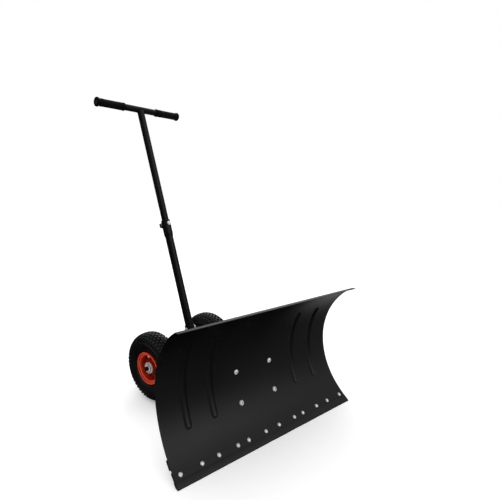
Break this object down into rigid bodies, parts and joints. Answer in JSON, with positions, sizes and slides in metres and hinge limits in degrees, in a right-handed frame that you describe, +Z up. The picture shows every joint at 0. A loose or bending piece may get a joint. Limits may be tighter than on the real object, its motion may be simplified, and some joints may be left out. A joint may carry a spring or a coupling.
{
  "type": "wheeled snow shovel",
  "caption": "Wheeled push snow shovel: curved ribbed steel blade with a rubber scraper edge on a swivel, two pneumatic wheels, leaning telescopic mast and a T-shaped handle with rubber grips.",
  "frame": {"origin": "on the ground, at the middle of the scraper strip's level resting face", "axes": "+X to the user's right along the axle, +Y to the rear towards the user, +Z up; the blade faces -Y and stands turned 12.5 degrees about its swivel bolt at rest"},
  "size_m": [0.7525, 0.8333, 1.1458],
  "materials": {
    "blade_paint": "satin black powder coat",
    "frame_paint": "satin black powder coat",
    "rim_paint": "semi-gloss orange-red",
    "tyre_rubber": "matt",
    "scraper_rubber": "matt",
    "grip_rubber": "matt, finely textured",
    "tube_rubber": "smooth",
    "zinc": "bright zinc plate",
    "steel": "turned",
    "black_plastic": "moulded",
    "nylon": "natural"
  },
  "bodies": {
    "chassis": {"main_frame": "frame_paint", "frame_end_cap": "black_plastic", "swivel_bolt": "zinc", "swivel_nut": "zinc", "swivel_washers": "zinc", "thrust_washers": "nylon", "clamp_stud": "zinc", "clamp_washer": "zinc", "axle": "frame_paint", "axle_spacers": "frame_paint", "axle_washers": "zinc", "split_pins": "zinc", "mast_lower": "frame_paint", "mast_foot_bolts": "zinc", "mast_foot_nuts": "zinc", "mast_collar": "frame_paint", "collar_bolt": "zinc", "collar_washers": "zinc"},
    "blade": {"blade_sheet": "blade_paint", "blade_stiffener": "blade_paint", "scraper_strip": "scraper_rubber", "scraper_clamp_bar": "frame_paint", "scraper_bolts": "zinc", "scraper_washers": "zinc", "scraper_nuts": "zinc", "blade_bracket": "frame_paint", "bracket_bolts": "zinc", "bracket_washers": "zinc", "bracket_nuts": "zinc"},
    "wheel_left": {"tyre_left": "tyre_rubber", "inner_tube_left": "tube_rubber", "rim_outer_left": "rim_paint", "rim_inner_left": "rim_paint", "hub_left": "zinc", "bearings_left": "steel", "rim_bolts_left": "zinc", "rim_nuts_left": "zinc", "valve_left": "black_plastic"},
    "wheel_right": {"tyre_right": "tyre_rubber", "inner_tube_right": "tube_rubber", "rim_outer_right": "rim_paint", "rim_inner_right": "rim_paint", "hub_right": "zinc", "bearings_right": "steel", "rim_bolts_right": "zinc", "rim_nuts_right": "zinc", "valve_right": "black_plastic"},
    "handle": {"mast_upper": "frame_paint", "cross_tube": "frame_paint", "grip_left": "grip_rubber", "grip_right": "grip_rubber", "bar_end_plugs": "black_plastic"},
    "collar_knob": {"collar_knob": "black_plastic"},
    "swivel_knob": {"swivel_knob": "black_plastic"}
  },
  "joints": [
    {"name": "blade_swivel", "type": "hinge", "parent": "chassis", "child": "blade", "pos_m": [0.04116, 0.18567, 0.15], "axis": [0, 0, 1], "range_deg": [-17.5, 42.5]},
    {"name": "wheel_left_spin", "type": "hinge", "parent": "chassis", "child": "wheel_left", "pos_m": [-0.11134, 0.47367, 0.1285], "axis": [1, 0, 0], "continuous": true},
    {"name": "wheel_right_spin", "type": "hinge", "parent": "chassis", "child": "wheel_right", "pos_m": [0.19366, 0.47367, 0.1285], "axis": [1, 0, 0], "continuous": true},
    {"name": "handle_slide", "type": "slide", "parent": "chassis", "child": "handle", "axis": [0, 0.304, 0.9527], "range_m": [0, 0.12]},
    {"name": "collar_knob_turn", "type": "hinge", "parent": "chassis", "child": "collar_knob", "pos_m": [0.04116, 0.56424, 0.65353], "axis": [0, 0.9527, -0.304], "range_deg": [-360, 0]},
    {"name": "swivel_knob_turn", "type": "hinge", "parent": "chassis", "child": "swivel_knob", "pos_m": [0.04116, 0.24567, 0.17], "axis": [0, 0, 1], "range_deg": [0, 360]}
  ]
}
